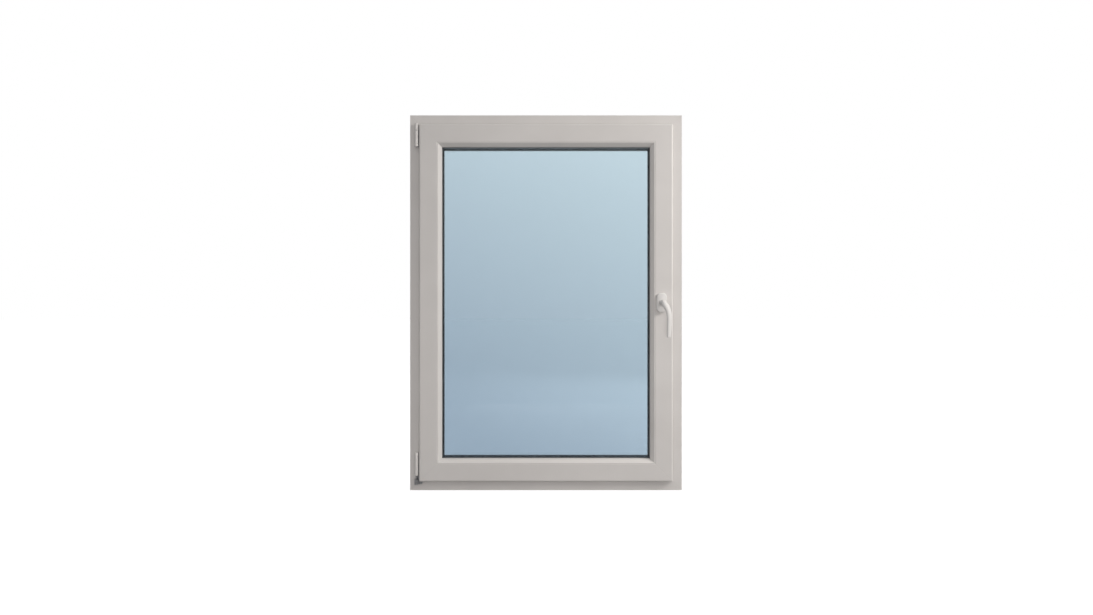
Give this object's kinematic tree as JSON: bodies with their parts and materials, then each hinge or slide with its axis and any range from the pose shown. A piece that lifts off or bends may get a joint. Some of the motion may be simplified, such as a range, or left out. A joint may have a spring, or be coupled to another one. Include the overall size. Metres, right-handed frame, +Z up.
{
  "type": "tilt-and-turn window",
  "caption": "Single-sash tilt-and-turn window in white PVC with double glazing, a lever handle, locking rails, corner hinges and a stay arm.",
  "frame": {"origin": "middle of the frame's flat underside", "axes": "+X from the hinge side to the lock side, +Y towards outdoors, +Z up"},
  "size_m": [1, 0.1405, 1.38],
  "materials": {
    "white_pvc": "satin white window profile",
    "white_cover": "smooth moulded white",
    "handle_white": "white powder coat on cast aluminium",
    "dark_seal": "matt weather seal",
    "clear_glass": "clear float glass",
    "spacer_aluminium": "mill finish",
    "sealant": "matt",
    "block_plastic": "moulded",
    "base_plastic": "moulded",
    "galvanised_steel": "galvanised",
    "silver_zinc": "bright zinc plate",
    "cam_steel": "turned, zinc plated",
    "screw_steel": "zinc plated"
  },
  "bodies": {
    "frame": {"frame_head": "white_pvc", "frame_sill": "white_pvc", "frame_jamb_hinge": "white_pvc", "frame_jamb_lock": "white_pvc", "frame_reinforcement": "galvanised_steel", "frame_gasket": "dark_seal", "stay_bearing": "silver_zinc", "stay_bearing_cover": "white_cover", "stay_bearing_screws": "screw_steel", "pivot_rest": "silver_zinc", "pivot_rest_screws": "screw_steel", "lock_keepers": "silver_zinc", "head_keepers": "silver_zinc", "sill_keepers": "silver_zinc", "keeper_screws": "screw_steel", "drain_covers": "white_cover"},
    "pivot_rocker": {"pivot_pin": "silver_zinc"},
    "stay_pin": {"stay_hinge_pin": "silver_zinc"},
    "stay_arm": {"stay_arm": "silver_zinc", "stay_arm_cap": "white_cover", "stay_slide_pin": "silver_zinc"},
    "handle": {"handle_lever": "handle_white", "spindle": "silver_zinc", "gearbox_pinion": "silver_zinc"},
    "lock_drive": {"lock_rail": "silver_zinc", "lock_cams": "cam_steel"},
    "head_drive": {"head_rail": "silver_zinc", "head_cams": "cam_steel"},
    "sill_drive": {"sill_rail": "silver_zinc", "sill_cams": "cam_steel"},
    "sash": {"bead_gasket": "dark_seal", "bead_head": "white_pvc", "bead_hinge": "white_pvc", "bead_lock": "white_pvc", "bead_sill": "white_pvc", "corner_casings": "silver_zinc", "edge_sealant": "sealant", "faceplate_head": "silver_zinc", "faceplate_lock": "silver_zinc", "faceplate_screws": "screw_steel", "faceplate_sill": "silver_zinc", "gearbox_case": "silver_zinc", "glazing_blocks": "block_plastic", "handle_screws": "screw_steel", "outer_glazing_gasket": "dark_seal", "pane_inner": "clear_glass", "pane_outer": "clear_glass", "rosette_base": "base_plastic", "rosette_cover": "handle_white", "sash_gasket": "dark_seal", "sash_head": "white_pvc", "sash_hinge": "silver_zinc", "sash_hinge_cover": "white_cover", "sash_hinge_screws": "screw_steel", "sash_reinforcement": "galvanised_steel", "sash_sill": "white_pvc", "sash_stile_hinge": "white_pvc", "sash_stile_lock": "white_pvc", "spacer_bar": "spacer_aluminium"}
  },
  "joints": [
    {"name": "sash_tilt", "type": "hinge", "parent": "frame", "child": "pivot_rocker", "pos_m": [-0.475, -0.043, 0.036], "axis": [1, 0, 0], "range_deg": [0, 7.2]},
    {"name": "sash_turn", "type": "hinge", "parent": "pivot_rocker", "child": "sash", "pos_m": [-0.475, -0.043, 0.036], "axis": [0, 0, -1], "range_deg": [0, 100]},
    {"name": "handle_turn", "type": "hinge", "parent": "sash", "child": "handle", "pos_m": [0.422, -0.05, 0.69], "axis": [0, 1, 0], "range_deg": [0, 180]},
    {"name": "lock_rail_slide", "type": "slide", "parent": "sash", "child": "lock_drive", "axis": [0, 0, -1], "range_m": [0, 0.0361]},
    {"name": "head_rail_slide", "type": "slide", "parent": "sash", "child": "head_drive", "axis": [1, 0, 0], "range_m": [0, 0.0361]},
    {"name": "sill_rail_slide", "type": "slide", "parent": "sash", "child": "sill_drive", "axis": [-1, 0, 0], "range_m": [0, 0.0361]},
    {"name": "stay_pin_turn", "type": "hinge", "parent": "frame", "child": "stay_pin", "pos_m": [-0.475, -0.043, 1.331], "axis": [0, 0, -1], "range_deg": [0, 100.5]},
    {"name": "stay_arm_swing", "type": "hinge", "parent": "stay_pin", "child": "stay_arm", "pos_m": [-0.475, -0.043, 1.331], "axis": [0, 0.0503, -0.9987], "range_deg": [0, 19]}
  ],
  "couplings": [
    {"joint": "lock_rail_slide", "follows": "handle_turn", "m_per_rad": 0.011459},
    {"joint": "head_rail_slide", "follows": "handle_turn", "m_per_rad": 0.011459},
    {"joint": "sill_rail_slide", "follows": "handle_turn", "m_per_rad": 0.011459},
    {"joint": "stay_pin_turn", "follows": "sash_turn", "ratio": 1},
    {"joint": "stay_arm_swing", "follows": "sash_tilt", "ratio": 2.618}
  ]
}
